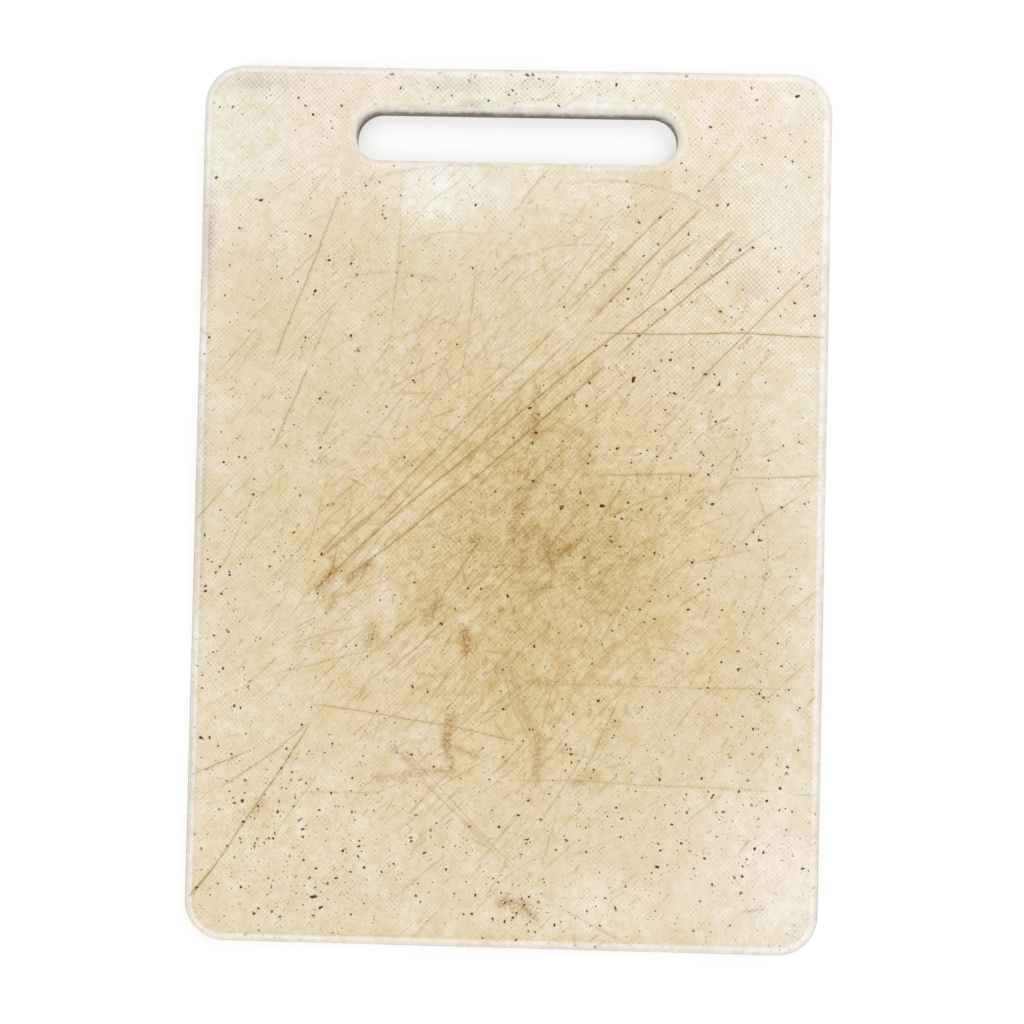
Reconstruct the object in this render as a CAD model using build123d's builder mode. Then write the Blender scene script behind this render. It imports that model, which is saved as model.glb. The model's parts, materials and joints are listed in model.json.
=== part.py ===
from build123d import *
import os

# Moulded plastic cutting board with a hand slot near one short end.
#
# The board is a single moulding, lying flat.  Millimetres, +Z up, the long side
# along Y and the hand slot towards +Y.  The origin is under the middle of the
# board, on the surface it lies on.

# Slab, measured at the parting line, where it is widest
BOARD_LENGTH = 340.0
BOARD_WIDTH = 244.0
BOARD_THICKNESS = 8.0
CORNER_RADIUS = 15.5
OUTER_EDGE_ROUNDING = 1.2

# Round-ended hand slot, measured at the parting line, where it is narrowest
SLOT_LENGTH = 125.5
SLOT_WIDTH = 20.0
SLOT_TO_END = 26.3  # centre line of the slot to the nearer short end
SLOT_EDGE_ROUNDING = 1.0

# The two halves of the mould meet in the middle of the thickness
DRAFT_ANGLE = 2.0

HALF_THICKNESS = BOARD_THICKNESS / 2
SLOT_CENTRE_Y = BOARD_LENGTH / 2 - SLOT_TO_END

PARTING_PLANE = Plane.XY.offset(HALF_THICKNESS)


with BuildPart() as board:
    # Slab: its edge leans in from the parting line to both faces
    with BuildSketch(PARTING_PLANE):
        RectangleRounded(BOARD_WIDTH, BOARD_LENGTH, CORNER_RADIUS)
    extrude(amount=HALF_THICKNESS, both=True, taper=DRAFT_ANGLE)
    fillet(board.faces().filter_by(Axis.Z).edges(), radius=OUTER_EDGE_ROUNDING)

    # Hand slot: its wall opens out from the parting line to both faces
    with BuildSketch(PARTING_PLANE):
        with Locations((0, SLOT_CENTRE_Y)):
            SlotOverall(SLOT_LENGTH, SLOT_WIDTH)
    extrude(
        amount=HALF_THICKNESS,
        both=True,
        taper=-DRAFT_ANGLE,
        mode=Mode.SUBTRACT,
    )
    slot_mouths = [
        wire
        for face in board.faces().filter_by(Axis.Z)
        for wire in face.inner_wires()
    ]
    fillet(ShapeList(slot_mouths).edges(), radius=SLOT_EDGE_ROUNDING)

board.part.label = "board"

os.makedirs("parts", exist_ok=True)
export_step(board.part, "parts/board.step")
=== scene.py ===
import json
import math
import random

import bpy
import numpy as np
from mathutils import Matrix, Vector
from mathutils.geometry import delaunay_2d_cdt


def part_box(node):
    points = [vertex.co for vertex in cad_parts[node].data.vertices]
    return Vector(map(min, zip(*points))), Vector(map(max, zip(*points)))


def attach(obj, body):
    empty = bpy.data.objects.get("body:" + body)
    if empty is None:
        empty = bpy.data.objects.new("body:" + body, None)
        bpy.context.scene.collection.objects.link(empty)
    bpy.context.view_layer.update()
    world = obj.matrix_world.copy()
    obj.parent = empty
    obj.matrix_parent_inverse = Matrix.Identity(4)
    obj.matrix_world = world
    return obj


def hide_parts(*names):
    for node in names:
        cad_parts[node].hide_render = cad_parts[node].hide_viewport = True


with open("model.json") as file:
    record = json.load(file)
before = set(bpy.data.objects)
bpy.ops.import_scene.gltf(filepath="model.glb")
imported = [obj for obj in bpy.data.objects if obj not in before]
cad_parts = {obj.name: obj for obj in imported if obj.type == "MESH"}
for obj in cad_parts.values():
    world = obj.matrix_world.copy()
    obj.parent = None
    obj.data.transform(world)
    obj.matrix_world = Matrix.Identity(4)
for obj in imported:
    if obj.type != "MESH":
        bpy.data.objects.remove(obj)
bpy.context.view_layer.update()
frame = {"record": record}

# The looks of a worn moulded cutting board.  One closed mesh stands for the CAD node `board`: both faces
# carry the embossed weave, the plain rim, the knife cuts and the pits as real geometry.  Stains, rust, grey
# soiling, painted shade on the walls and rubbed circles are values on its points, which the material reads.
#
# Lengths are millimetres on the board until the mesh is made.  X is across it, Y along it, Z up.

MM = 0.001

# ------------------------------------------------------------
# Sizes
# ------------------------------------------------------------

board_low, board_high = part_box("board")
WIDTH, LENGTH, THICKNESS = (board_high - board_low) / MM
HALF_THICKNESS = THICKNESS / 2
CORNER_RADIUS = 15.5

slot_mount = next(mount for mount in frame["record"]["mounts"] if mount["name"] == "hand_slot")
SLOT_Y = slot_mount["pos_m"][1] / MM
SLOT_LENGTH = 125.5
SLOT_WIDTH = 20.0

DRAFT = math.tan(math.radians(2.0))  # both walls lean away from the parting line
OUTER_ROUNDING = 1.2
SLOT_ROUNDING = 1.0
ROUNDING_STEPS = 5
PARTING_RIDGE = 0.05  # how far the moulding flash stands out
PARTING_HALF_HEIGHT = 0.14
WALL_RING_HEIGHT = 1.4  # from the parting line to one more ring of points on each side of it

RIM_WIDTH = 3.3  # plain margin along the outer edge
RIM_CROWN = 0.16  # how far the rim falls away towards the edge
SLOT_BORDER = 2.9  # plain margin round the slot
BORDER_CROWN = 0.08
STEP_WIDTH = 0.35  # from a plain margin down to the weave
MARGIN_RINGS = 3  # rings of points across a plain margin

THREAD_PITCH = 1.023  # embossed plain weave
WEAVE_DEPTH = 0.065
HOLLOW_SHARE = 0.35  # how deep the hollows are for each unit that the crests stand up
FIELD_DROP = 0.075  # how far the middle of the weave lies below the plain margins
WORN_RELIEF = 0.35  # share of the weave's depth that is left where it is most worn
WEAVE_CLEARANCE = 0.15  # points of the weave stay this far inside the step

CUT_STEP = 0.7  # spacing of the points along a knife cut
EDGE_CLEARANCE = 0.25  # cuts and pits stop this far inside the flat of a face

HULL = 0  # the triangulation fills everything inside the outermost loop
MERGE_DISTANCE = 1e-5  # points closer together than this become one

# ------------------------------------------------------------
# Wear of the working face
# ------------------------------------------------------------

# Paths of the knife, by how hard it was pressed
HARD_CUTS = [
    [(-75, -86), (-94, -116), (-112, -143), (-121, -154)],
    [(32, 61), (-11, 24), (-58, -17), (-72, -32)],
    [(36, 55), (-10, 14), (-43, -14), (-61, -28)],
    [(86, 109), (68, 91), (40, 67), (22, 53)],
    [(92, 102), (73, 88), (51, 69), (40, 58)],
    [(72, 117), (50, 94), (30, 72)],
    [(34, 67.5), (86, 68.6), (121, 68)],
]
PLAIN_CUTS = [
    [(61, 118), (21, 76)],
    [(49, 106), (32, 89)],
    [(71, 105), (55, 93)],
    [(68, 103), (55, 92)],
    [(88, 100), (72, 87)],
    [(83, 95), (71, 86)],
    [(116, 95), (96, 75), (70, 47)],
    [(17, 70), (-24, 27), (-50, -2), (-73, -22)],
    [(22, 65), (-29, 14), (-60, -20)],
    [(-54, 0), (-63, -8), (-72, -19)],
    [(-50, -1), (-64, -13), (-74, -22)],
    [(-66, -16), (-68, -27), (-70, -34)],
    [(-10, -12), (-24, -33), (-29, -43)],
    [(-21, -41), (-32, -53), (-46, -65)],
    [(-68, 120), (-77, 96), (-83, 80), (-93, 53)],
    [(-78, 55), (-88, 30), (-92, 20)],
    [(-75, -85), (-88, -96), (-109, -111)],
    [(-98, -96), (-121, -107)],
    [(-75, -78), (-48, -81), (-22, -85), (4, -90)],
    [(86, 13), (120, 14)],
    [(33, 13), (71, 14)],
    [(11, 48), (11, 41)],
    [(-50, -46), (-52, -54)],
    [(13, -13), (17, -22), (24, -15)],
    [(44, -74), (38, -87), (31, -102)],
]
LIGHT_CUTS = [
    [(-43, -92), (-23, -114), (5, -141)],
    [(-40, -92), (-20, -113), (2, -136)],
    [(1, -58), (5, -75), (11, -89)],
    [(-1, -60), (3, -77), (12, -93)],
    [(21, -60), (17, -75), (13, -92)],
    [(50, 97), (29, 72)],
    [(79, 56), (67, 43)],
    [(28, 57), (0, 31), (-27, 10)],
    [(-99, 2), (-109, -23), (-113, -29)],
    [(-70, 75), (-78, 55)],
    [(-69, 15), (-78, -21)],
    [(-60, 3), (-64, -12)],
    [(-44, 112), (-45, 92), (-47, 74)],
    [(-14, 96), (-16, 77), (-20, 45)],
    [(62, 68), (95, 69)],
    [(67, 6), (80, 8), (91, 12)],
    [(67, -9), (88, 0)],
    [(71, -20), (96, -14)],
    [(-50, 43), (-30, 43)],
    [(11, -68), (75, -68), (110, -68)],
    [(3, -105), (29, -105), (104, -107)],
    [(111, -108), (120, -108)],
    [(11, -92), (39, -97)],
    [(-37, -102), (-15, -103)],
    [(-21, -92), (-7, -98)],
    [(-75, -112), (-48, -111), (-39, -107)],
    [(1, -34), (26, -29)],
    [(-85, -55), (-67, -50), (-53, -47)],
    [(-91, -67), (-61, -59), (-43, -55)],
    [(-81, -40), (-65, -36), (-35, -26)],
    [(-121, 65), (-117, 64)],
    [(-71, -104), (-87, -128)],
    [(-90, -62), (-102, -73)],
    [(-37, -102), (5, -138)],
    [(-30, -124), (-34, -134)],
    [(24, -154), (52, -168)],
    [(36, -59), (27, -70), (21, -83)],
    [(34, -112), (42, -104)],
    [(22, -116), (16, -136)],
    [(52, -89), (41, -102)],
    [(32, -14), (31, -24)],
    [(2, 3), (8, 11)],
    [(11, 97), (12, 90)],
    [(60, 110), (60, 106)],
    [(71, 86), (81, 76)],
]

# Marks rubbed by the rims of bowls and pans: centre, radius, from and to in degrees, strength
RUB_ARCS = [
    ((-19, 14), 118, 78, 115, 0.40),
    ((35, 45), 82, 55, 106, 0.40),
    ((-47, 35), 55, 68, 122, 0.38),
    ((-40, 62), 26, 48, 146, 0.26),
    ((-23, 70), 36, 72, 128, 0.40),
    ((26, 50), 52, 72, 125, 0.40),
    ((29, 39), 61, -38, -2, 0.42),
    ((41, -15), 59, -36, 24, 0.42),
    ((27, -107), 43, -112, -52, 0.28),
    ((74, 57), 48, 66, 97, 0.36),
]

# Soft patches of stain, darker or cleaner: x, y, reach along x and y, change of stain
STAIN_PATCHES = [
    (0, -22, 72, 82, 0.48),
    (0, 168, 200, 40, -0.28),
    (-92, 128, 34, 26, -0.10),
    (124, 10, 22, 150, -0.16),
    (-34, 116, 19, 17, -0.21),
    (-14, 125, 34, 10, -0.15),
    (98, 108, 15, 26, -0.14),
    (104, -142, 34, 30, -0.30),
    (-119, 104, 12, 44, -0.20),
    (-119, -30, 7, 90, -0.06),
    (40, -152, 30, 13, -0.12),
    (-50, 30, 13, 14, -0.14),
    (-34, -52, 8, 9, -0.16),
    (-112, -150, 20, 20, 0.06),
    (86, -60, 15, 22, 0.12),
    (-66, -21, 13, 10, 0.12),
    (-62, 100, 22, 18, 0.06),
    (22, 4, 30, 34, 0.08),
    (50, -28, 16, 26, 0.10),
    (-20, -168, 110, 4, 0.18),
    (-31, 6, 7, 6, -0.20),
    (-50, -62, 8, 6, -0.16),
    (-28, -88, 9, 6, -0.12),
    (-52, -20, 6, 5, -0.26),
    (-48, -33, 4, 5, -0.24),
    (-46, -42, 3, 6, -0.20),
    (-51, -39, 3, 3, -0.12),
    (-16, -45, 4, 4, -0.22),
    (-57, -48, 4, 8, -0.20),
    (-44, -6, 6, 5, -0.18),
]

# Where the weave is still crisp: x, y, reach along x and y, how much of it is left
WORN_WEAVE = 0.26  # and how much is left elsewhere
CRISP_PATCHES = [
    (88, 100, 42, 52, 0.66),
    (10, 164, 120, 16, 0.22),
    (-78, 112, 34, 50, 0.22),
    (-106, -10, 18, 90, 0.16),
    (-20, -20, 50, 50, 0.18),
    (30, 60, 30, 30, 0.20),
]

# Greyish dirt: x, y, reach along x and y, strength
GRIME_PATCHES = [
    (-119, 102, 2.5, 16, 0.30),
    (-100, 163, 14, 3, 0.22),
    (-26, 163, 12, 3, 0.22),
    (8, 164, 7, 3, 0.15),
    (-119, -5, 2, 40, 0.16),
    (-121, -105, 2, 30, 0.22),
    (-17, 156, 8, 1.5, 0.25),
    (92, 90, 9, 9, 0.10),
    (80, 126, 6, 6, 0.10),
    (-58, -150, 30, 8, 0.06),
]

# Rusty smears: from x, y to x, y, reach, strength
RUST_SMEARS = [
    (-16, -49, -15, -56, 2.6, 1.00),
    (-21, -82, -22, -93, 2.2, 0.85),
    (-22, -93, -20, -102, 2.2, 0.60),
    (-19, -93, -11, -96, 1.6, 0.45),
    (-43, -93, -33, -102, 1.6, 0.40),
    (-49, -106, -20, -102, 1.8, 0.45),
    (13, -88, 13, -106, 2.2, 0.55),
    (1, -60, 12, -88, 2.4, 0.36),
    (-3, -63, -6, -71, 2.2, 0.40),
    (10, -67, 23, -67, 1.6, 0.35),
    (42, -53, 28, -70, 1.6, 0.35),
    (-31, -44, -26, -38, 2.4, 0.60),
    (-54, -54, -51, -49, 2.6, 0.60),
    (28, -106, 36, -103, 2.2, 0.50),
    (39, -85, 43, -82, 2.2, 0.40),
    (-73, -33, -67, -26, 1.7, 1.00),
    (-112, -143, -119, -152, 0.8, 0.60),
    (-61, -29, -53, -23, 1.9, 0.80),
    (-68, -40, -66, -36, 2.4, 0.50),
    (1, -8, 11, 11, 2.4, 0.50),
    (9, 28, 10, 36, 1.8, 0.80),
    (9, 40, 10, 46, 1.4, 0.60),
    (30, 50, 33, 55, 2.0, 0.45),
    (13, -20, 24, -15, 1.6, 0.75),
    (17, -23, 15, -13, 1.4, 0.60),
    (1, -152, 9, -153, 2.4, 0.90),
    (9, -153, 13, -158, 2.0, 0.70),
    (-93, -116, -95, -119, 2.4, 0.50),
]

# Dark specks: where they gather, as x, y, spread along x and y, how many
SPECK_GROUPS = [
    (-65, -135, 30, 20, 190),
    (0, -152, 40, 12, 110),
    (60, -122, 36, 26, 230),
    (108, -130, 8, 28, 36),
    (-84, 156, 16, 8, 18),
    (-30, 160, 12, 6, 16),
    (6, 160, 16, 6, 50),
    (74, 150, 14, 12, 26),
    (-60, 96, 30, 24, 80),
    (62, 98, 26, 24, 120),
    (62, 40, 28, 28, 120),
    (46, -2, 28, 26, 120),
    (-100, 20, 16, 60, 110),
    (-10, -40, 50, 50, 160),
    (86, -52, 20, 30, 90),
    (104, -106, 12, 20, 36),
    (7, -154, 6, 3, 26),
    (-78, 20, 30, 60, 70),
    (-95, -118, 16, 16, 90),
    (-80, -150, 26, 10, 70),
    (-113, -64, 7, 26, 40),
]
SCATTERED_SPECKS = 1100
SLOT_WALL_NICK = (-17, 6)  # x and reach of the dark dirt on the slot's far wall
# The biggest of them: x, y, radius
BIG_SPECKS = [
    (47, 50, 0.95),
    (36, 1, 0.85),
    (-117, -92, 0.70),
    (-72, -152, 0.85),
    (-69, -156, 0.70),
    (-66, -112, 0.42),
    (-55, -136, 0.46),
    (-88, -130, 0.46),
    (-76, -138, 0.44),
    (-100, -149, 0.50),
    (-93, -157, 0.42),
    (-58, -106, 0.40),
    (-105, -98, 0.42),
    (-78, -86, 0.46),
    (-66, -93, 0.40),
    (108, 161, 0.75),
    (36, -74, 0.55),
    (28, -31, 0.34),
    (41, -47, 0.34),
    (10, -113, 0.45),
    (46, -119, 0.40),
    (24, -91, 0.36),
    (24, -101, 0.36),
    (-49, -80, 0.36),
    (-1, -63, 0.34),
    (41, -3, 0.36),
    (51, 0, 0.50),
    (105, 2, 0.42),
    (71, -20, 0.50),
    (76, -26, 0.42),
    (57, -42, 0.42),
    (83, -58, 0.42),
    (53, -76, 0.36),
    (106, -59, 0.36),
    (70, -55, 0.34),
    (99, -37, 0.34),
    (109, -68, 0.34),
    (78, -68, 0.38),
    (113, -91, 0.40),
    (87, 101, 0.52),
    (92, 102, 0.48),
    (50, 98, 0.40),
    (56, 113, 0.48),
    (-15, -32, 0.42),
    (-10, -32, 0.42),
    (-77, 82, 0.60),
    (63, 45, 0.60),
    (80, 77, 0.50),
    (-99, 117, 0.65),
    (60, -137, 0.70),
]
# Fainter ones gather here, given in the same way as the dark ones
GREY_SPECK_GROUPS = [
    (-118, 102, 2.0, 14, 60),
    (-116, -20, 3.0, 60, 60),
    (112, 80, 4.0, 50, 50),
    (70, 60, 40, 60, 160),
]

# ------------------------------------------------------------
# Outlines
# ------------------------------------------------------------


class Outline:
    """A rectangle with round corners, centred on X = 0, or a round-ended slot where it is two radii high."""

    def __init__(self, centre_y, width, height, radius, corner_steps, spacing):
        self.centre = np.array((0.0, centre_y))
        self.core = np.array((width / 2 - radius, height / 2 - radius))
        self.radius = radius
        self.corner_steps = corner_steps
        self.side_steps = [round(2 * half / spacing) for half in self.core]

    def distance(self, points):
        """How far outside the outline each point is; negative inside."""
        beyond = np.abs(points - self.centre) - self.core
        outside = np.hypot(*np.maximum(beyond, 0).T)
        return outside + np.minimum(beyond.max(axis=1), 0) - self.radius

    def ring(self, offset):
        """A closed counter-clockwise loop of points, `offset` outside the outline."""
        radius = self.radius + offset
        signs = [(1, 1), (-1, 1), (-1, -1), (1, -1)]
        points = []
        for corner, sign in enumerate(signs):
            middle = self.core * sign
            for step in range(self.corner_steps):
                angle = math.pi / 2 * (corner + step / self.corner_steps)
                points.append(middle + radius * np.array((math.cos(angle), math.sin(angle))))
            angle = math.pi / 2 * (corner + 1)
            side_start = middle + radius * np.array((math.cos(angle), math.sin(angle)))
            side_end = self.core * signs[(corner + 1) % 4] + (side_start - middle)
            side_steps = self.side_steps[corner % 2]
            for step in range(side_steps):
                points.append(side_start + (side_end - side_start) * step / side_steps)
        return np.array(points) + self.centre


BOARD = Outline(0, WIDTH, LENGTH, CORNER_RADIUS, corner_steps=32, spacing=0.8)
SLOT = Outline(SLOT_Y, SLOT_LENGTH, SLOT_WIDTH, SLOT_WIDTH / 2, corner_steps=30, spacing=0.6)


def rounding_profile(radius, top):
    """Points (inset, height) of a rounded edge, from the end of the flat face down to the wall."""
    centre_height = THICKNESS - radius
    centre_inset = (centre_height - HALF_THICKNESS) * DRAFT + radius
    rise = top - centre_height
    profile = []
    for step in range(ROUNDING_STEPS + 1):
        angle = math.pi / 2 * (1 - step / ROUNDING_STEPS)
        profile.append((centre_inset - radius * math.cos(angle), centre_height + rise * math.sin(angle)))
    return profile


def wall_profile(radius, top):
    """Points (inset, height) down the whole edge, from one face to the other."""
    upper = rounding_profile(radius, top)
    for above in (WALL_RING_HEIGHT, PARTING_HALF_HEIGHT):
        upper.append((above * DRAFT, HALF_THICKNESS + above))
    lower = [(inset, THICKNESS - height) for inset, height in reversed(upper)]
    return upper + [(-PARTING_RIDGE, HALF_THICKNESS)] + lower


OUTER_FLAT = rounding_profile(OUTER_ROUNDING, THICKNESS)[0][0]
SLOT_FLAT = rounding_profile(SLOT_ROUNDING, THICKNESS)[0][0]

# ------------------------------------------------------------
# Shape of a face
# ------------------------------------------------------------


def smooth(value):
    """0 to 1, easing in and out."""
    value = np.clip(value, 0, 1)
    return value * value * (3 - 2 * value)


def weave(points):
    """1 on the crests of the embossed weave, 0 between them and below 0 in its hollows."""
    wave = np.prod(np.sin(points * math.pi / THREAD_PITCH), axis=1)
    return np.where(wave > 0, wave, HOLLOW_SHARE * wave)


def field_share(points):
    """1 in the woven field, 0 on the plain margins."""
    inside = np.minimum(-BOARD.distance(points) - RIM_WIDTH, SLOT.distance(points) - SLOT_BORDER)
    return smooth(inside / STEP_WIDTH)


def patches_at(points, patches):
    """The sum of soft round patches."""
    total = np.zeros(len(points))
    for x, y, reach_x, reach_y, strength in patches:
        away = ((points[:, 0] - x) / reach_x) ** 2 + ((points[:, 1] - y) / reach_y) ** 2
        total += strength * np.exp(-away)
    return total


def weave_left(points):
    """How much of the weave has not been worn away, 0 to 1."""
    x, y = points.T
    uneven = 1 + 0.3 * np.sin(0.21 * x + 0.07 * y) * np.sin(0.17 * y - 0.09 * x + 1)
    return np.clip((WORN_WEAVE + patches_at(points, CRISP_PATCHES)) * uneven, 0, 1)


def face_height(points):
    """Height of a face, but for its cuts and pits."""
    from_edge = (-BOARD.distance(points) - OUTER_FLAT) / (RIM_WIDTH - OUTER_FLAT)
    from_slot = (SLOT.distance(points) - SLOT_FLAT) / (SLOT_BORDER - SLOT_FLAT)
    crown = RIM_CROWN * (1 - np.clip(from_edge, 0, 1)) ** 2
    crown += BORDER_CROWN * (1 - np.clip(from_slot, 0, 1)) ** 2
    relief = WEAVE_DEPTH * (WORN_RELIEF + (1 - WORN_RELIEF) * weave_left(points)) * weave(points)
    hollow = field_share(points) * (FIELD_DROP - relief)
    return THICKNESS - crown - hollow


def wander(points):
    """The small sideways drift that keeps a long cut from being dead straight."""
    x, y = points.T
    drift_x = 0.22 * np.sin(0.13 * y + 0.05 * x) + 0.07 * np.sin(0.61 * y - 0.32 * x)
    drift_y = 0.22 * np.sin(0.12 * x - 0.04 * y) + 0.07 * np.sin(0.57 * x + 0.36 * y)
    return np.stack((drift_x, drift_y), axis=1)


class Nearby:
    """Finds the points inside a box without looking at all of them."""

    def __init__(self, points):
        self.points = points
        self.order = np.argsort(points[:, 0])
        self.sorted_x = points[self.order, 0]

    def box(self, low, high):
        first, last = np.searchsorted(self.sorted_x, (low[0], high[0]))
        found = self.order[first:last]
        y = self.points[found, 1]
        return found[(y > low[1]) & (y < high[1])]


class Cut:
    """A V-shaped groove along a path, fading out at both ends."""

    HALO = 1.1  # how far stain creeps out of a cut
    FADE = 7.0  # how far it takes to reach its full width, at most
    FADE_SHARE = 0.3  # and at most this share of its length

    def __init__(self, path, half_width, depth, stain, with_lips=True):
        self.path = np.array(path, float)
        self.with_lips = with_lips
        self.half_width = half_width
        self.depth = depth
        self.stain = stain
        self.spans = np.linalg.norm(np.diff(self.path, axis=0), axis=1)
        self.length = self.spans.sum()

    def width_at(self, travelled):
        fade = min(self.FADE, self.FADE_SHARE * self.length)
        share = np.minimum(travelled, self.length - travelled) / fade
        return self.half_width * np.sqrt(np.clip(share, 0, 1))

    def lines(self):
        """Rows of points along the bottom of the groove and, where it is wide enough, its two lips."""
        count = max(2, math.ceil(self.length / CUT_STEP))
        travelled = np.linspace(0, self.length, count + 1)
        reached = np.concatenate(([0], np.cumsum(self.spans)))
        middle = np.stack([np.interp(travelled, reached, axis) for axis in self.path.T], axis=1)
        if not self.with_lips:
            return [middle + wander(middle)]
        along = np.gradient(middle, axis=0)
        along /= np.linalg.norm(along, axis=1)[:, None]
        across = np.stack((-along[:, 1], along[:, 0]), axis=1) * self.width_at(travelled)[:, None]
        rows = (middle, (middle + across)[1:-1], (middle - across)[1:-1])
        return [row + wander(row) for row in rows]

    def mark(self, nearby, depth, stain, halo):
        """Deepens and stains the points it passes over."""
        reached = 0.0
        for start, end, span in zip(self.path, self.path[1:], self.spans):
            low = np.minimum(start, end) - self.HALO
            high = np.maximum(start, end) + self.HALO
            found = nearby.box(low, high)
            direction = (end - start) / span
            offset = nearby.points[found] - start
            along = np.clip(offset @ direction, 0, span)
            distance = np.linalg.norm(offset - along[:, None] * direction, axis=1)
            width = np.maximum(self.width_at(reached + along), 1e-3)
            groove = np.clip(1 - distance / width, 0, 1)
            spread = np.clip(1 - distance / self.HALO, 0, 1) ** 2 * width / self.half_width
            depth[found] = np.maximum(depth[found], self.depth * groove)
            stain[found] = np.maximum(stain[found], self.stain * groove)
            halo[found] = np.maximum(halo[found], self.stain * spread)
            reached += span


class Speck:
    """A small dark pit with an uneven outline."""

    POINTS = 7
    SOFT_EDGE = 0.14
    DEPTH = 0.05
    REACH = 1.7  # about how far out its outline goes, in radii

    def __init__(self, centre, radius, darkness, draw):
        self.centre = np.array(centre, float)
        self.radius = radius
        self.darkness = darkness
        self.stretch = draw.uniform(0.05, 0.50)
        self.turn = draw.uniform(0, math.pi)
        self.lobe = draw.uniform(0.0, 0.30)
        self.lobe_turn = draw.uniform(0, math.tau)

    def radius_at(self, angle):
        stretched = 1 + self.stretch * np.cos(2 * (angle - self.turn))
        return self.radius * (stretched + self.lobe * np.cos(3 * (angle - self.lobe_turn)))

    def rings(self):
        """Its inner and outer outline."""
        angle = np.arange(self.POINTS) / self.POINTS * math.tau
        direction = np.stack((np.cos(angle), np.sin(angle)), axis=1)
        reach = self.radius_at(angle)[:, None]
        return [self.centre + direction * (reach + extra) for extra in (0, self.SOFT_EDGE)]

    def mark(self, nearby, depth, dark):
        reach = self.radius * self.REACH + self.SOFT_EDGE
        found = nearby.box(self.centre - reach, self.centre + reach)
        offset = nearby.points[found] - self.centre
        angle = np.arctan2(offset[:, 1], offset[:, 0])
        beyond = np.hypot(*offset.T) - self.radius_at(angle)
        inside = np.clip(1 - beyond / self.SOFT_EDGE, 0, 1)
        depth[found] = np.maximum(depth[found], self.DEPTH * inside)
        dark[found] = np.maximum(dark[found], self.darkness * inside)


# ------------------------------------------------------------
# Wear
# ------------------------------------------------------------


KNIFE_HEADING = 46  # the way that the knife usually goes, and how much that varies, in degrees
KNIFE_SPREAD = 9
ALONG_THE_KNIFE = 0.7  # share of the hairlines that go that way
HAIRLINE_HALF_WIDTH = 0.07
HAIRLINE_DEPTH = 0.02

RIM_STAIN = 0.30  # share of the stain that the rim has taken up
BORDER_STAIN = 0.60  # and the plain margin round the slot
HALO_STAIN = 0.30  # round a cut
HALO_RUST = 0.30

# Strength and reach of the grey where a face rounds over, and of the soiling where the rim meets the weave
EDGE_GREY = (0.16, 0.6)
MOUTH_GREY = (0.10, 0.5)
STEP_DIRT = (0.16, 0.4)
STEP_DIRT_LEFT = 110  # how far left of the middle the dirt along the step is at its strongest
WEAVE_SHEDS = 0.8  # share of the dirt that the crests of the weave stay clear of

RUB_FADE = 8  # degrees over which a rubbed circle comes in at each end
RUB_HALF_WIDTH = 0.65
RUB_OFF_CRESTS = 0.75  # how much of it shows between the crests of the weave


def fine_scratches(draw, count, reach_x, reach_y):
    """Hairlines, the longer of them along the way that the knife usually goes."""
    scratches = []
    for _ in range(count):
        middle = np.array((draw.gauss(0, reach_x), draw.gauss(-12, reach_y)))
        if draw.random() < ALONG_THE_KNIFE:
            heading = math.radians(KNIFE_HEADING + draw.gauss(0, KNIFE_SPREAD))
            half = 1.5 + 15 * draw.random() ** 3
        else:
            heading = draw.uniform(0, math.pi)
            half = 1 + 5 * draw.random() ** 2
        way = half * np.array((math.cos(heading), math.sin(heading)))
        bow = draw.gauss(0, 0.012) * np.array((-way[1], way[0]))
        path = [middle - way, middle + bow, middle + way]
        stain = draw.uniform(0.15, 0.5) * (0.4 + 0.6 * draw.random())
        scratches.append(Cut(path, HAIRLINE_HALF_WIDTH, HAIRLINE_DEPTH, stain, with_lips=False))
    return scratches


def specks_in_groups(draw, groups, small, large, darkness):
    """Specks gathered round the middle of each group."""
    specks = []
    for x, y, spread_x, spread_y, count in groups:
        for _ in range(count):
            centre = (draw.gauss(x, spread_x), draw.gauss(y, spread_y))
            radius = small + (large - small) * draw.random() ** 3
            specks.append(Speck(centre, radius, draw.uniform(*darkness), draw))
    return specks


def scattered_specks(draw, count):
    """Specks spread evenly over a face."""
    specks = []
    for _ in range(count):
        centre = (draw.uniform(-WIDTH / 2, WIDTH / 2), draw.uniform(-LENGTH / 2, LENGTH / 2))
        radius = 0.10 + 0.26 * draw.random() ** 3
        specks.append(Speck(centre, radius, draw.uniform(0.35, 1.0), draw))
    return specks


class Wear:
    """Everything that has happened to one face."""

    def __init__(self, cuts, specks, arcs, patches, rust, grime_and_shade, base_stain):
        self.cuts = cuts
        self.specks = specks
        self.arcs = arcs
        self.patches = patches
        self.rust = rust
        self.grime_and_shade = grime_and_shade
        self.base_stain = base_stain


def working_face_wear():
    draw = random.Random(7)
    cuts = [Cut(path, half_width=0.21, depth=0.09, stain=1.0) for path in HARD_CUTS]
    cuts += [Cut(path, half_width=0.16, depth=0.06, stain=0.78) for path in PLAIN_CUTS]
    cuts += [Cut(path, half_width=0.12, depth=0.04, stain=0.48) for path in LIGHT_CUTS]
    cuts += fine_scratches(draw, count=1700, reach_x=48, reach_y=66)
    specks = [Speck((x, y), radius, darkness=1.0, draw=draw) for x, y, radius in BIG_SPECKS]
    specks += specks_in_groups(draw, SPECK_GROUPS, small=0.12, large=0.58, darkness=(0.65, 1.2))
    specks += specks_in_groups(draw, GREY_SPECK_GROUPS, small=0.12, large=0.24, darkness=(0.2, 0.45))
    specks += scattered_specks(draw, SCATTERED_SPECKS)
    return Wear(cuts, specks, RUB_ARCS, STAIN_PATCHES, RUST_SMEARS, GRIME_PATCHES, base_stain=0.43)


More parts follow.
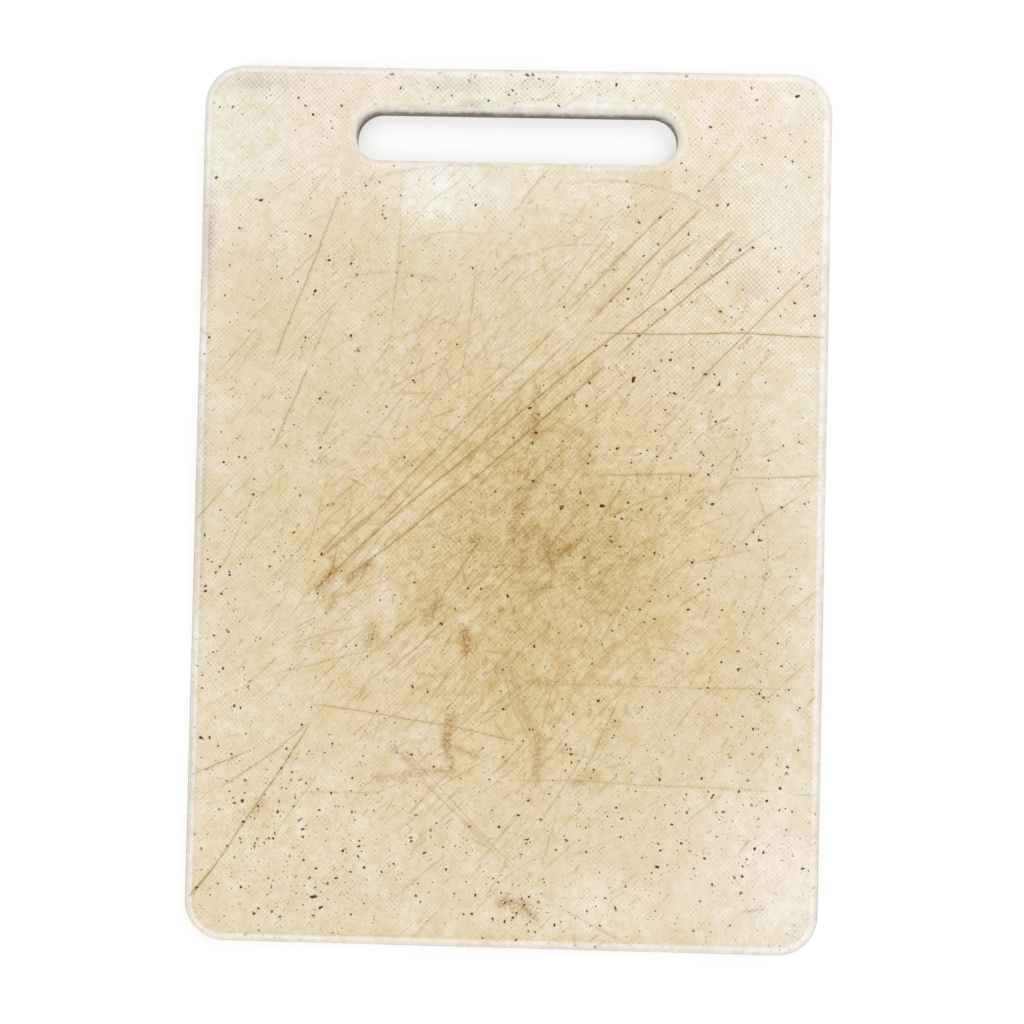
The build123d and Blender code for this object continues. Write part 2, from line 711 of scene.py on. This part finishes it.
def underside_wear():
    """The other face has been used too, but less."""
    draw = random.Random(23)
    cuts = fine_scratches(draw, count=130, reach_x=50, reach_y=70)
    heading = 0.8
    direction = np.array((math.cos(heading), math.sin(heading)))
    for _ in range(14):
        start = np.array((draw.uniform(-80, 60), draw.uniform(-120, 60)))
        way = draw.uniform(30, 80) * direction + draw.gauss(0, 6)
        stain = draw.uniform(0.3, 0.6)
        cuts.append(Cut([start, start + way], half_width=0.13, depth=0.05, stain=stain))
    specks = scattered_specks(draw, count=420)
    arcs = [((10, 20), 70, 20, 160, 0.20), ((-20, -40), 62, 190, 320, 0.20)]
    patches = [
        (5, -25, 70, 80, 0.26),
        (0, 168, 200, 42, -0.14),
        (-40, 60, 24, 20, -0.12),
        (60, -90, 26, 30, -0.12),
    ]
    rust = [(20, 8, 26, 14, 3, 0.45), (-36, -76, -33, -64, 2.5, 0.40)]
    grime_and_shade = [(0, 163, 60, 3, 0.15), (119, 40, 3, 50, 0.15)]
    return Wear(cuts, specks, arcs, patches, rust, grime_and_shade, base_stain=0.36)


def stain_at(points, wear):
    """How deeply the plastic has taken up colour, 0 clean to about 1 darkest."""
    stain = wear.base_stain + patches_at(points, wear.patches)
    inside_rim = smooth((-BOARD.distance(points) - RIM_WIDTH) / STEP_WIDTH)
    outside_border = smooth((SLOT.distance(points) - SLOT_BORDER) / STEP_WIDTH)
    stain *= RIM_STAIN + (1 - RIM_STAIN) * inside_rim
    return stain * (BORDER_STAIN + (1 - BORDER_STAIN) * outside_border)


def grime_at(points, wear):
    """Grey where the face rounds over, and grey soiling along the left part of the step and in its patches.
    """
    from_edge = -BOARD.distance(points) - OUTER_FLAT
    from_slot = SLOT.distance(points) - SLOT_FLAT
    from_step = from_edge - RIM_WIDTH + OUTER_FLAT
    grime_and_shade = np.zeros(len(points))
    for away, (strength, reach) in ((from_edge, EDGE_GREY), (from_slot, MOUTH_GREY)):
        grime_and_shade += strength * np.clip(1 - away / reach, 0, 1)
    strength, reach = STEP_DIRT
    grime_and_shade += strength * np.exp(-((from_step / reach) ** 2)) * smooth(-points[:, 0] / STEP_DIRT_LEFT)
    return grime_and_shade + patches_at(points, wear.grime_and_shade) * (1 - WEAVE_SHEDS * weave(points))


def rust_at(points, wear):
    """Brown smears, each strongest along the line between its two ends."""
    rust = np.zeros(len(points))
    for *ends, reach, strength in wear.rust:
        start, end = np.array(ends, float).reshape(2, 2)
        along = np.clip((points - start) @ (end - start) / ((end - start) @ (end - start)), 0, 1)
        away = np.linalg.norm(points - start - along[:, None] * (end - start), axis=1) / reach
        rust = np.maximum(rust, strength * np.exp(-(away**2)))
    return rust


def rub_at(points, wear):
    """Grey circles; they catch on the crests of the weave."""
    rub = np.zeros(len(points))
    for centre, radius, first, last, strength in wear.arcs:
        offset = points - np.array(centre)
        angle = np.degrees(np.arctan2(offset[:, 1], offset[:, 0]))
        turned = (angle - first) % 360
        sweep = last - first
        ends = np.clip(np.minimum(turned, sweep - turned) / RUB_FADE, 0, 1) * (turned < sweep)
        line = np.clip(1 - np.abs(np.hypot(*offset.T) - radius) / RUB_HALF_WIDTH, 0, 1)
        caught = RUB_OFF_CRESTS + (1 - RUB_OFF_CRESTS) * weave(points)
        rub = np.maximum(rub, strength * ends * line * caught)
    return rub


# ------------------------------------------------------------
# Mesh
# ------------------------------------------------------------


def on_the_flat(points):
    """True where a cut or a pit may be, clear of both rounded edges."""
    room = np.minimum(-BOARD.distance(points) - OUTER_FLAT, SLOT.distance(points) - SLOT_FLAT)
    return room > EDGE_CLEARANCE


def weave_grid():
    """The crests and hollows of the weave, and the level points between four of them."""
    half_width, half_length = (int(side / THREAD_PITCH) for side in (WIDTH, LENGTH))
    across, along = np.meshgrid(
        np.arange(-half_width, half_width + 1), np.arange(-half_length, half_length + 1)
    )
    needed = (across + along) % 2 == 0
    grid = np.stack((across[needed], along[needed]), axis=1) * THREAD_PITCH / 2
    room = np.minimum(-BOARD.distance(grid) - RIM_WIDTH, SLOT.distance(grid) - SLOT_BORDER)
    return grid[room > STEP_WIDTH + WEAVE_CLEARANCE]


class Drawing:
    """Points and lines that the triangles of a face must keep."""

    def __init__(self):
        self.points = []
        self.lines = []
        self.count = 0

    def add(self, points, closed=False, joined=True):
        first = self.count
        self.points.append(points)
        self.count += len(points)
        if joined:
            self.lines += [(index, index + 1) for index in range(first, self.count - 1)]
        if closed:
            self.lines.append((self.count - 1, first))

    def add_runs(self, points):
        """Adds the stretches of a line that lie on the flat of the face."""
        inside = on_the_flat(points)
        breaks = np.flatnonzero(np.diff(inside.astype(int))) + 1
        for run, keep in zip(np.split(points, breaks), np.split(inside, breaks)):
            if keep[0]:
                self.add(run)


def face_drawing(wear):
    drawing = Drawing()
    drawing.add(BOARD.ring(-OUTER_FLAT), closed=True)
    drawing.add(SLOT.ring(SLOT_FLAT), closed=True)
    for inset in np.linspace(OUTER_FLAT, RIM_WIDTH, MARGIN_RINGS + 1)[1:]:
        drawing.add(BOARD.ring(-inset), closed=True)
    for outset in np.linspace(SLOT_FLAT, SLOT_BORDER, MARGIN_RINGS + 1)[1:]:
        drawing.add(SLOT.ring(outset), closed=True)
    drawing.add(BOARD.ring(-RIM_WIDTH - STEP_WIDTH), closed=True)
    drawing.add(SLOT.ring(SLOT_BORDER + STEP_WIDTH), closed=True)
    drawing.add(weave_grid(), joined=False)
    for cut in wear.cuts:
        for line in cut.lines():
            drawing.add_runs(line)
    for speck in wear.specks:
        inner, outer = speck.rings()
        if on_the_flat(outer).all():
            drawing.add(inner, closed=True)
            drawing.add(outer, closed=True)
            drawing.add(speck.centre[None], joined=False)
    return drawing


def worn_face(wear):
    """Points (x, y, z), triangles and painted values of one face, seen from outside it."""
    drawing = face_drawing(wear)
    flat = [Vector(point) for point in np.concatenate(drawing.points)]
    found = delaunay_2d_cdt(flat, drawing.lines, [], HULL, MERGE_DISTANCE, False)
    points = np.array([point[:] for point in found[0]])
    triangles = np.array(found[2])
    middles = points[triangles].mean(axis=1)
    triangles = triangles[SLOT.distance(middles) > SLOT_FLAT]

    depth, cut, halo, speck = np.zeros((4, len(points)))
    undrifted = Nearby(points - wander(points))
    for groove in wear.cuts:
        groove.mark(undrifted, depth, cut, halo)
    in_place = Nearby(points)
    for pit in wear.specks:
        pit.mark(in_place, depth, speck)

    inside = on_the_flat(points)
    depth *= inside
    values = {
        "stain": stain_at(points, wear) + HALO_STAIN * halo,
        "crisp": weave_left(points) * field_share(points),
        "cut": cut * inside,
        "speck": speck * inside,
        "rub": rub_at(points, wear),
        "rust": np.maximum(rust_at(points, wear), HALO_RUST * halo),
        "grime_and_shade": grime_at(points, wear),
    }
    height = face_height(points) - depth
    return np.column_stack((points, height)), triangles, values


class Shell:
    """Collects the board's points, faces and painted values into one closed mesh."""

    VALUES = ("stain", "crisp", "cut", "speck", "rub", "rust", "grime_and_shade")

    def __init__(self):
        self.points = []
        self.faces = []
        self.values = {name: [] for name in self.VALUES}
        self.count = 0

    def add_points(self, points, values):
        """Returns the number of the first point added."""
        first = self.count
        self.points.append(points)
        self.count += len(points)
        for name in self.VALUES:
            self.values[name].append(np.broadcast_to(values.get(name, 0.0), len(points)))
        return first

    def add_strip(self, upper, lower):
        """Quads between two rings of point numbers; they face away when both run counter-clockwise."""
        corners = (lower, np.roll(lower, -1), np.roll(upper, -1), upper)
        self.faces += np.stack(corners, axis=1).tolist()

    def add_wall(self, outline, side, rounding, face_rings, wall_values):
        """The edge between the two faces.  `side` is 1 for the outer edge and -1 for the slot's wall."""
        top_ring, bottom_ring = face_rings
        top = float(self.height_of(top_ring[0]))
        profile = wall_profile(rounding, top)
        rings = [top_ring]
        for inset, height in profile[1:-1]:
            loop = outline.ring(-side * inset)
            points = np.column_stack((loop, np.full(len(loop), height)))
            first = self.add_points(points, wall_values(points))
            rings.append(np.arange(first, first + len(loop)))
        rings.append(bottom_ring)
        for upper, lower in zip(rings, rings[1:]):
            if side > 0:
                self.add_strip(upper, lower)
            else:
                self.add_strip(lower, upper)

    def height_of(self, number):
        return np.concatenate(self.points)[number, 2]

    def mesh(self, name):
        mesh = bpy.data.meshes.new(name)
        mesh.from_pydata(np.concatenate(self.points) * MM, [], self.faces)
        for value in self.VALUES:
            layer = mesh.attributes.new(value, "FLOAT", "POINT")
            layer.data.foreach_set("value", np.concatenate(self.values[value]).astype(np.float32))
        mesh.shade_smooth()
        return mesh


SHOULDER_HEIGHT = 3.84  # from the parting line to where the grey on the outer edge ends
SHOULDER_FADE = 0.2
PAINTED_SHADE_RUN = 500  # how much x + y grows from the darkest part of the outer edge, at the lower left, to the lightest; this darkening is painted shade
WALL_TOP = 7.5  # where the slot's wall begins to darken, partly with soiling and partly with painted shade, and how much further down it is at its darkest
WALL_DARKENS = 6.0
NICK_TOP = 6.5
NICK_DARKENS = 2.0


def outer_wall_values(points):
    """The outer edge is grey but for its shoulders, and greyest at the lower left, where the extra grey is
    painted shade on the side away from the light.
    """
    x, y, z = points.T
    uneven = 0.03 * np.sin(0.09 * x + 0.05 * y) + 0.03 * np.sin(0.23 * y - 0.11 * x)
    between_shoulders = smooth((SHOULDER_HEIGHT - np.abs(z - HALF_THICKNESS)) / SHOULDER_FADE)
    # Painted shade: darker towards the lower left, the side away from the light
    lower_left_shade = smooth(0.5 - (x + y) / PAINTED_SHADE_RUN)
    grey_and_shade = 0.20 + 0.20 * lower_left_shade + uneven
    return {"stain": 0.05 + 0.5 * uneven, "grime_and_shade": 0.05 + grey_and_shade * between_shoulders}


def slot_wall_values(points):
    """The slot's wall is darker further down, but for its last millimetre: partly soiling from fingers and
    drips, partly painted shade deep in the slot.
    """
    x, y, z = points.T
    # Painted shade: the darkening that grows with depth stands in partly for the shade deep in the slot
    depth = smooth((WALL_TOP - z) / WALL_DARKENS)
    middle, reach = SLOT_WALL_NICK
    on_nick = np.exp(-(((x - middle) / reach) ** 2)) * (y > SLOT_Y)
    on_nick *= smooth((NICK_TOP - z) / NICK_DARKENS)
    uneven = 0.04 * np.sin(0.5 * x + 0.3 * y) + 0.03 * np.sin(1.7 * x)
    grime_and_shade = (0.15 + 1.10 * depth + 0.35 * on_nick + uneven) * (0.5 + 0.5 * smooth(z))
    return {"stain": 0.30 * depth, "grime_and_shade": np.clip(grime_and_shade, 0, 1.25)}


def board_mesh():
    shell = Shell()
    edge_count = len(BOARD.ring(0))
    slot_count = len(SLOT.ring(0))
    edge_ring = np.arange(edge_count)
    slot_ring = np.arange(edge_count, edge_count + slot_count)

    points, triangles, values = worn_face(working_face_wear())
    top = shell.add_points(points, values)
    shell.faces += (triangles + top).tolist()

    points, triangles, values = worn_face(underside_wear())
    points[:, 2] = THICKNESS - points[:, 2]
    bottom = shell.add_points(points, values)
    shell.faces += (triangles[:, ::-1] + bottom).tolist()

    edges = (edge_ring + top, edge_ring + bottom)
    shell.add_wall(BOARD, 1, OUTER_ROUNDING, edges, outer_wall_values)
    mouths = (slot_ring + top, slot_ring + bottom)
    shell.add_wall(SLOT, -1, SLOT_ROUNDING, mouths, slot_wall_values)
    return shell.mesh("worn_board")


# ------------------------------------------------------------
# Material
# ------------------------------------------------------------


def srgb(red, green, blue):
    """A colour given as 0 to 255 on screen, as the linear colour that a shader wants."""
    linear = []
    for channel in (red, green, blue):
        share = channel / 255
        linear.append(share / 12.92 if share <= 0.04045 else ((share + 0.055) / 1.055) ** 2.4)
    return (*linear, 1.0)


# Clean polyethylene through to the deepest stain, by how much stain there is
STAIN_COLOURS = [
    (0.00, srgb(253, 249, 243)),
    (0.12, srgb(246, 240, 230)),
    (0.25, srgb(239, 229, 207)),
    (0.50, srgb(232, 216, 183)),
    (0.75, srgb(224, 203, 159)),
    (1.00, srgb(215, 188, 136)),
    (1.25, srgb(198, 164, 106)),
    (1.50, srgb(172, 134, 80)),
]
WHITE = srgb(255, 255, 255)
PINK_CAST = srgb(255, 249, 246)
GREEN_CAST = srgb(252, 252, 247)
RUST_COLOUR = srgb(172, 124, 28)
CUT_COLOUR = srgb(128, 86, 42)
GRIME_AND_SHADE_COLOUR = srgb(108, 100, 82)
RUB_COLOUR = srgb(128, 116, 92)
SPECK_COLOUR = srgb(88, 56, 22)

# Scale of the noise, how far from its middle it is at full strength, and that strength
BLOTCHES = [(40, 0.16, 0.07), (120, 0.13, 0.10), (330, 0.12, 0.12), (1300, 0.16, 0.15)]
# Heading in degrees, and the scale of the noise across and along it
STREAKS = [(41, 1500, 60), (54, 900, 45), (118, 1200, 130), (86, 1100, 70)]
STREAK_STAIN = 0.24
SCUFF_HEIGHT = 0.06


class Graph:
    """Short ways to say what a material or the world is made of."""

    def __init__(self, owner):
        self.tree = owner.node_tree
        self.tree.nodes.clear()

    def node(self, kind, settings=None, inputs=None):
        node = self.tree.nodes.new(kind)
        for name, value in (settings or {}).items():
            setattr(node, name, value)
        for name, value in (inputs or {}).items():
            self.feed(node.inputs[name], value)
        return node

    def feed(self, socket, value):
        if isinstance(value, bpy.types.NodeSocket):
            self.tree.links.new(value, socket)
        else:
            socket.default_value = value

    def attribute(self, name):
        return self.node("ShaderNodeAttribute", {"attribute_name": name}).outputs["Fac"]

    def math(self, operation, first, second=0.0, third=0.0):
        node = self.node("ShaderNodeMath", {"operation": operation})
        for socket, value in zip(node.inputs, (first, second, third)):
            self.feed(socket, value)
        return node.outputs[0]

    def noise(self, place, scale, detail=2.0, roughness=0.5):
        inputs = {"Vector": place, "Scale": scale, "Detail": detail, "Roughness": roughness}
        return self.node("ShaderNodeTexNoise", None, inputs).outputs["Fac"]

    def weave(self, place):
        """The same wave as the embossing of the mesh, 1 on its crests and -1 in its hollows."""
        split = self.node("ShaderNodeSeparateXYZ", None, {"Vector": place})
        turn = math.pi / (THREAD_PITCH * MM)
        waves = [self.math("SINE", self.math("MULTIPLY", split.outputs[axis], turn)) for axis in "XY"]
        return self.math("MULTIPLY", *waves)

    def streaks(self, place, heading, across, along):
        """Noise drawn out along a heading in degrees."""
        turned = {"Vector": place, "Rotation": (0, 0, math.radians(-heading))}
        line_up = self.node("ShaderNodeMapping", {"vector_type": "POINT"}, turned).outputs["Vector"]
        stretch = {"Vector": line_up, "Scale": (along, across, along)}
        drawn_out = self.node("ShaderNodeMapping", {"vector_type": "POINT"}, stretch).outputs["Vector"]
        return self.noise(drawn_out, 1.0, 3.0, 0.6)

    def remap(self, value, low, high, new_low=0.0, new_high=1.0):
        inputs = {
            "Value": value,
            "From Min": low,
            "From Max": high,
            "To Min": new_low,
            "To Max": new_high,
        }
        return self.node("ShaderNodeMapRange", {"clamp": True}, inputs).outputs["Result"]

    def mix(self, share, first, second):
        node = self.node("ShaderNodeMix", {"data_type": "RGBA"})
        self.feed(node.inputs[0], share)
        self.feed(node.inputs[6], first)
        self.feed(node.inputs[7], second)
        return node.outputs[2]

    def tint(self, share, colour, cast):
        """Multiplies a colour by a pale cast, so that its texture stays."""
        node = self.node("ShaderNodeMix", {"data_type": "RGBA", "blend_type": "MULTIPLY"})
        self.feed(node.inputs[0], share)
        self.feed(node.inputs[6], colour)
        self.feed(node.inputs[7], cast)
        return node.outputs[2]

    def ramp(self, value, stops):
        share = self.math("DIVIDE", value, stops[-1][0])
        node = self.node("ShaderNodeValToRGB", None, {"Fac": share})
        elements = node.color_ramp.elements
        for _ in range(len(stops) - len(elements)):
            elements.new(1.0)
        for element, (position, colour) in zip(elements, stops):
            element.position = position / stops[-1][0]
            element.color = colour
        return node.outputs["Color"]


def plastic_material():
    """Moulded polyethylene that has been cut on, stained and scrubbed for years."""
    material = bpy.data.materials.new("worn_polyethylene")
    material.use_nodes = True
    graph = Graph(material)
    place = graph.node("ShaderNodeTexCoord").outputs["Object"]

    # Stain: the values on the points, broken up by blotches of four sizes and the grain of old knife marks
    mottle = 0.0
    for scale, spread, strength in BLOTCHES:
        blotch = graph.noise(place, scale, 3.0, 0.6)
        blotch = graph.remap(blotch, 0.5 - spread, 0.5 + spread, -strength, strength)
        mottle = graph.math("ADD", blotch, mottle)
    for heading, across, along in STREAKS:
        streak = graph.streaks(place, heading, across, along)
        streak = graph.remap(streak, 0.58, 0.75, 0.0, STREAK_STAIN)
        mottle = graph.math("ADD", streak, mottle)
    painted = graph.attribute("stain")
    shows = graph.remap(painted, 0.1, 0.8, 0.45, 0.95)
    stain = graph.math("MULTIPLY_ADD", mottle, shows, painted)

    # The crests of the weave are scrubbed clean, paler than the rest, and its hollows hold more stain; the
    # paler crests are also a painted highlight and the darker hollows painted shade
    thread = graph.weave(place)
    clean_and_lit_crests = graph.remap(thread, 0.25, 0.9, 0.0, -0.50)
    stained_and_shaded_hollows = graph.remap(thread, -0.2, -0.9, 0.0, 0.16)
    crisp = graph.attribute("crisp")
    woven = graph.math("MULTIPLY", graph.math("ADD", clean_and_lit_crests, stained_and_shaded_hollows), crisp)
    worn_off = graph.remap(graph.noise(place, 420, 2.0), 0.36, 0.60, 0.30, 1.10)
    stain = graph.math("MULTIPLY_ADD", woven, worn_off, stain)
    colour = graph.ramp(stain, STAIN_COLOURS)

    # Crumbs of dirt sit in the hollows here and there
    hollow = graph.math("MULTIPLY", graph.remap(thread, -0.45, -0.95), graph.remap(crisp, 0.05, 0.2))
    gathered = graph.remap(graph.noise(place, 190, 3.0, 0.6), 0.50, 0.62, 0.0, 0.75)
    picked = graph.remap(graph.noise(place, 820, 1.0), 0.56, 0.63)
    crumbs = graph.math("MULTIPLY", hollow, graph.math("MULTIPLY", gathered, picked))
    speck = graph.attribute("speck")

    # A pink and a greenish cast come and go across the paler plastic
    pale = graph.remap(stain, 0.15, 0.6, 1.0, 0.0)
    pink = graph.remap(graph.noise(place, 19, 2.0), 0.48, 0.62)
    colour = graph.tint(graph.math("MULTIPLY", pink, pale), colour, PINK_CAST)
    green = graph.remap(graph.noise(place, 27, 2.0), 0.5, 0.65)
    colour = graph.tint(green, colour, GREEN_CAST)

    # Rust, rubbed circles, cuts and specks, each broken up a little
    smears = graph.remap(graph.noise(place, 900, 4.0, 0.7), 0.38, 0.62, 0.10, 1.15)
    rust = graph.math("MULTIPLY", graph.attribute("rust"), smears)
    colour = graph.mix(rust, colour, RUST_COLOUR)
    patchy = graph.remap(graph.noise(place, 380, 4.0, 0.7), 0.38, 0.58, 0.35, 1.0)
    rub = graph.math("MULTIPLY", graph.attribute("rub"), patchy)
    colour = graph.mix(rub, colour, RUB_COLOUR)
    cut = graph.math("MULTIPLY", graph.attribute("cut"), patchy)
    colour = graph.mix(cut, colour, CUT_COLOUR)
    # Grey soiling, and on the walls also painted shade
    grime_and_shade = graph.math("MULTIPLY", graph.attribute("grime_and_shade"), graph.remap(patchy, 0.35, 1.0, 0.75, 1.1))
    colour = graph.mix(grime_and_shade, colour, GRIME_AND_SHADE_COLOUR)
    colour = graph.mix(graph.math("MAXIMUM", speck, crumbs), colour, SPECK_COLOUR)

    # Scrubbed plastic is dull, a little shinier in places at random, and duller in the specks
    sheen = graph.remap(graph.noise(place, 60, 3.0), 0.3, 0.7, 0.44, 0.60)
    roughness = graph.math("ADD", sheen, graph.math("MULTIPLY", speck, 0.25))

    scuffs = graph.noise(place, 1900, 3.0, 0.6)
    dents = {"Strength": 0.25, "Distance": SCUFF_HEIGHT * MM, "Height": scuffs}
    bump = graph.node("ShaderNodeBump", None, dents)

    shader = graph.node(
        "ShaderNodeBsdfPrincipled",
        None,
        {
            "Base Color": colour,
            "Roughness": roughness,
            "Normal": bump.outputs["Normal"],
            "IOR": 1.5,
            "Specular IOR Level": 0.4,
        },
    )
    graph.node("ShaderNodeOutputMaterial", None, {"Surface": shader.outputs["BSDF"]})
    return material


FLOOR_COLOUR = (0.5, 0.5, 0.5, 1.0)
FLOOR_GLOW = 0.56  # keeps the shadow on it faint, as in the photo


def floor_material():
    material = bpy.data.materials.new("pale_floor")
    material.use_nodes = True
    shader = material.node_tree.nodes["Principled BSDF"]
    shader.inputs["Base Color"].default_value = FLOOR_COLOUR
    shader.inputs["Emission Color"].default_value = WHITE
    shader.inputs["Emission Strength"].default_value = FLOOR_GLOW
    shader.inputs["Roughness"].default_value = 0.9
    shader.inputs["Specular IOR Level"].default_value = 0.1
    return material


# ------------------------------------------------------------
# Scene
# ------------------------------------------------------------


FLOOR_HALF = 8.0  # in metres, as the places of the lights are


def add_object(name, data):
    thing = bpy.data.objects.new(name, data)
    bpy.context.scene.collection.objects.link(thing)
    return thing


def add_board():
    mesh = board_mesh()
    mesh.materials.append(plastic_material())
    board = add_object("worn_board", mesh)
    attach(board, "root")
    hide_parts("board")


def add_floor():
    mesh = bpy.data.meshes.new("floor")
    signs = [(-1, -1), (1, -1), (1, 1), (-1, 1)]
    corners = [(FLOOR_HALF * x, FLOOR_HALF * y, 0) for x, y in signs]
    mesh.from_pydata(corners, [], [(0, 1, 2, 3)])
    mesh.materials.append(floor_material())
    floor = add_object("floor", mesh)


def add_area_light(name, place, size, power):
    data = bpy.data.lights.new(name, "AREA")
    data.shape = "DISK"
    data.size = size
    data.energy = power
    light = add_object(name, data)
    light.location = place
    light.rotation_euler = (-Vector(place)).to_track_quat("-Z", "Y").to_euler()


def add_lights():
    add_area_light("key", (1.19, 1.59, 1.67), size=2.4, power=34)
    add_area_light("fill", (-1.0, -1.8, 1.6), size=2.0, power=31)

    # The room is brighter low down, as it is round a white table
    world = bpy.data.worlds.new("soft_white")
    world.use_nodes = True
    graph = Graph(world)
    direction = graph.node("ShaderNodeTexCoord").outputs["Generated"]
    height = graph.node("ShaderNodeSeparateXYZ", None, {"Vector": direction}).outputs["Z"]
    strength = graph.remap(height, low=0.02, high=0.35, new_low=0.95, new_high=0.43)
    background = graph.node("ShaderNodeBackground", None, {"Color": WHITE, "Strength": strength})
    graph.node("ShaderNodeOutputWorld", None, {"Surface": background.outputs["Background"]})
    bpy.context.scene.world = world


def add_camera():
    """Looks down at the board from 37 cm up, turned a little, as in the photo."""
    data = bpy.data.cameras.new("camera")
    data.lens = 33.0
    data.sensor_width = 36.0
    data.clip_start = 0.01
    camera = add_object("camera", data)
    camera.location = Vector((6.0, -6.3, 370.2)) * MM
    camera.rotation_euler = [math.radians(angle) for angle in (0.68, 0.73, 1.28)]
    bpy.context.scene.camera = camera


add_board()
add_floor()
add_lights()
add_camera()
bpy.context.scene.view_settings.view_transform = "Standard"
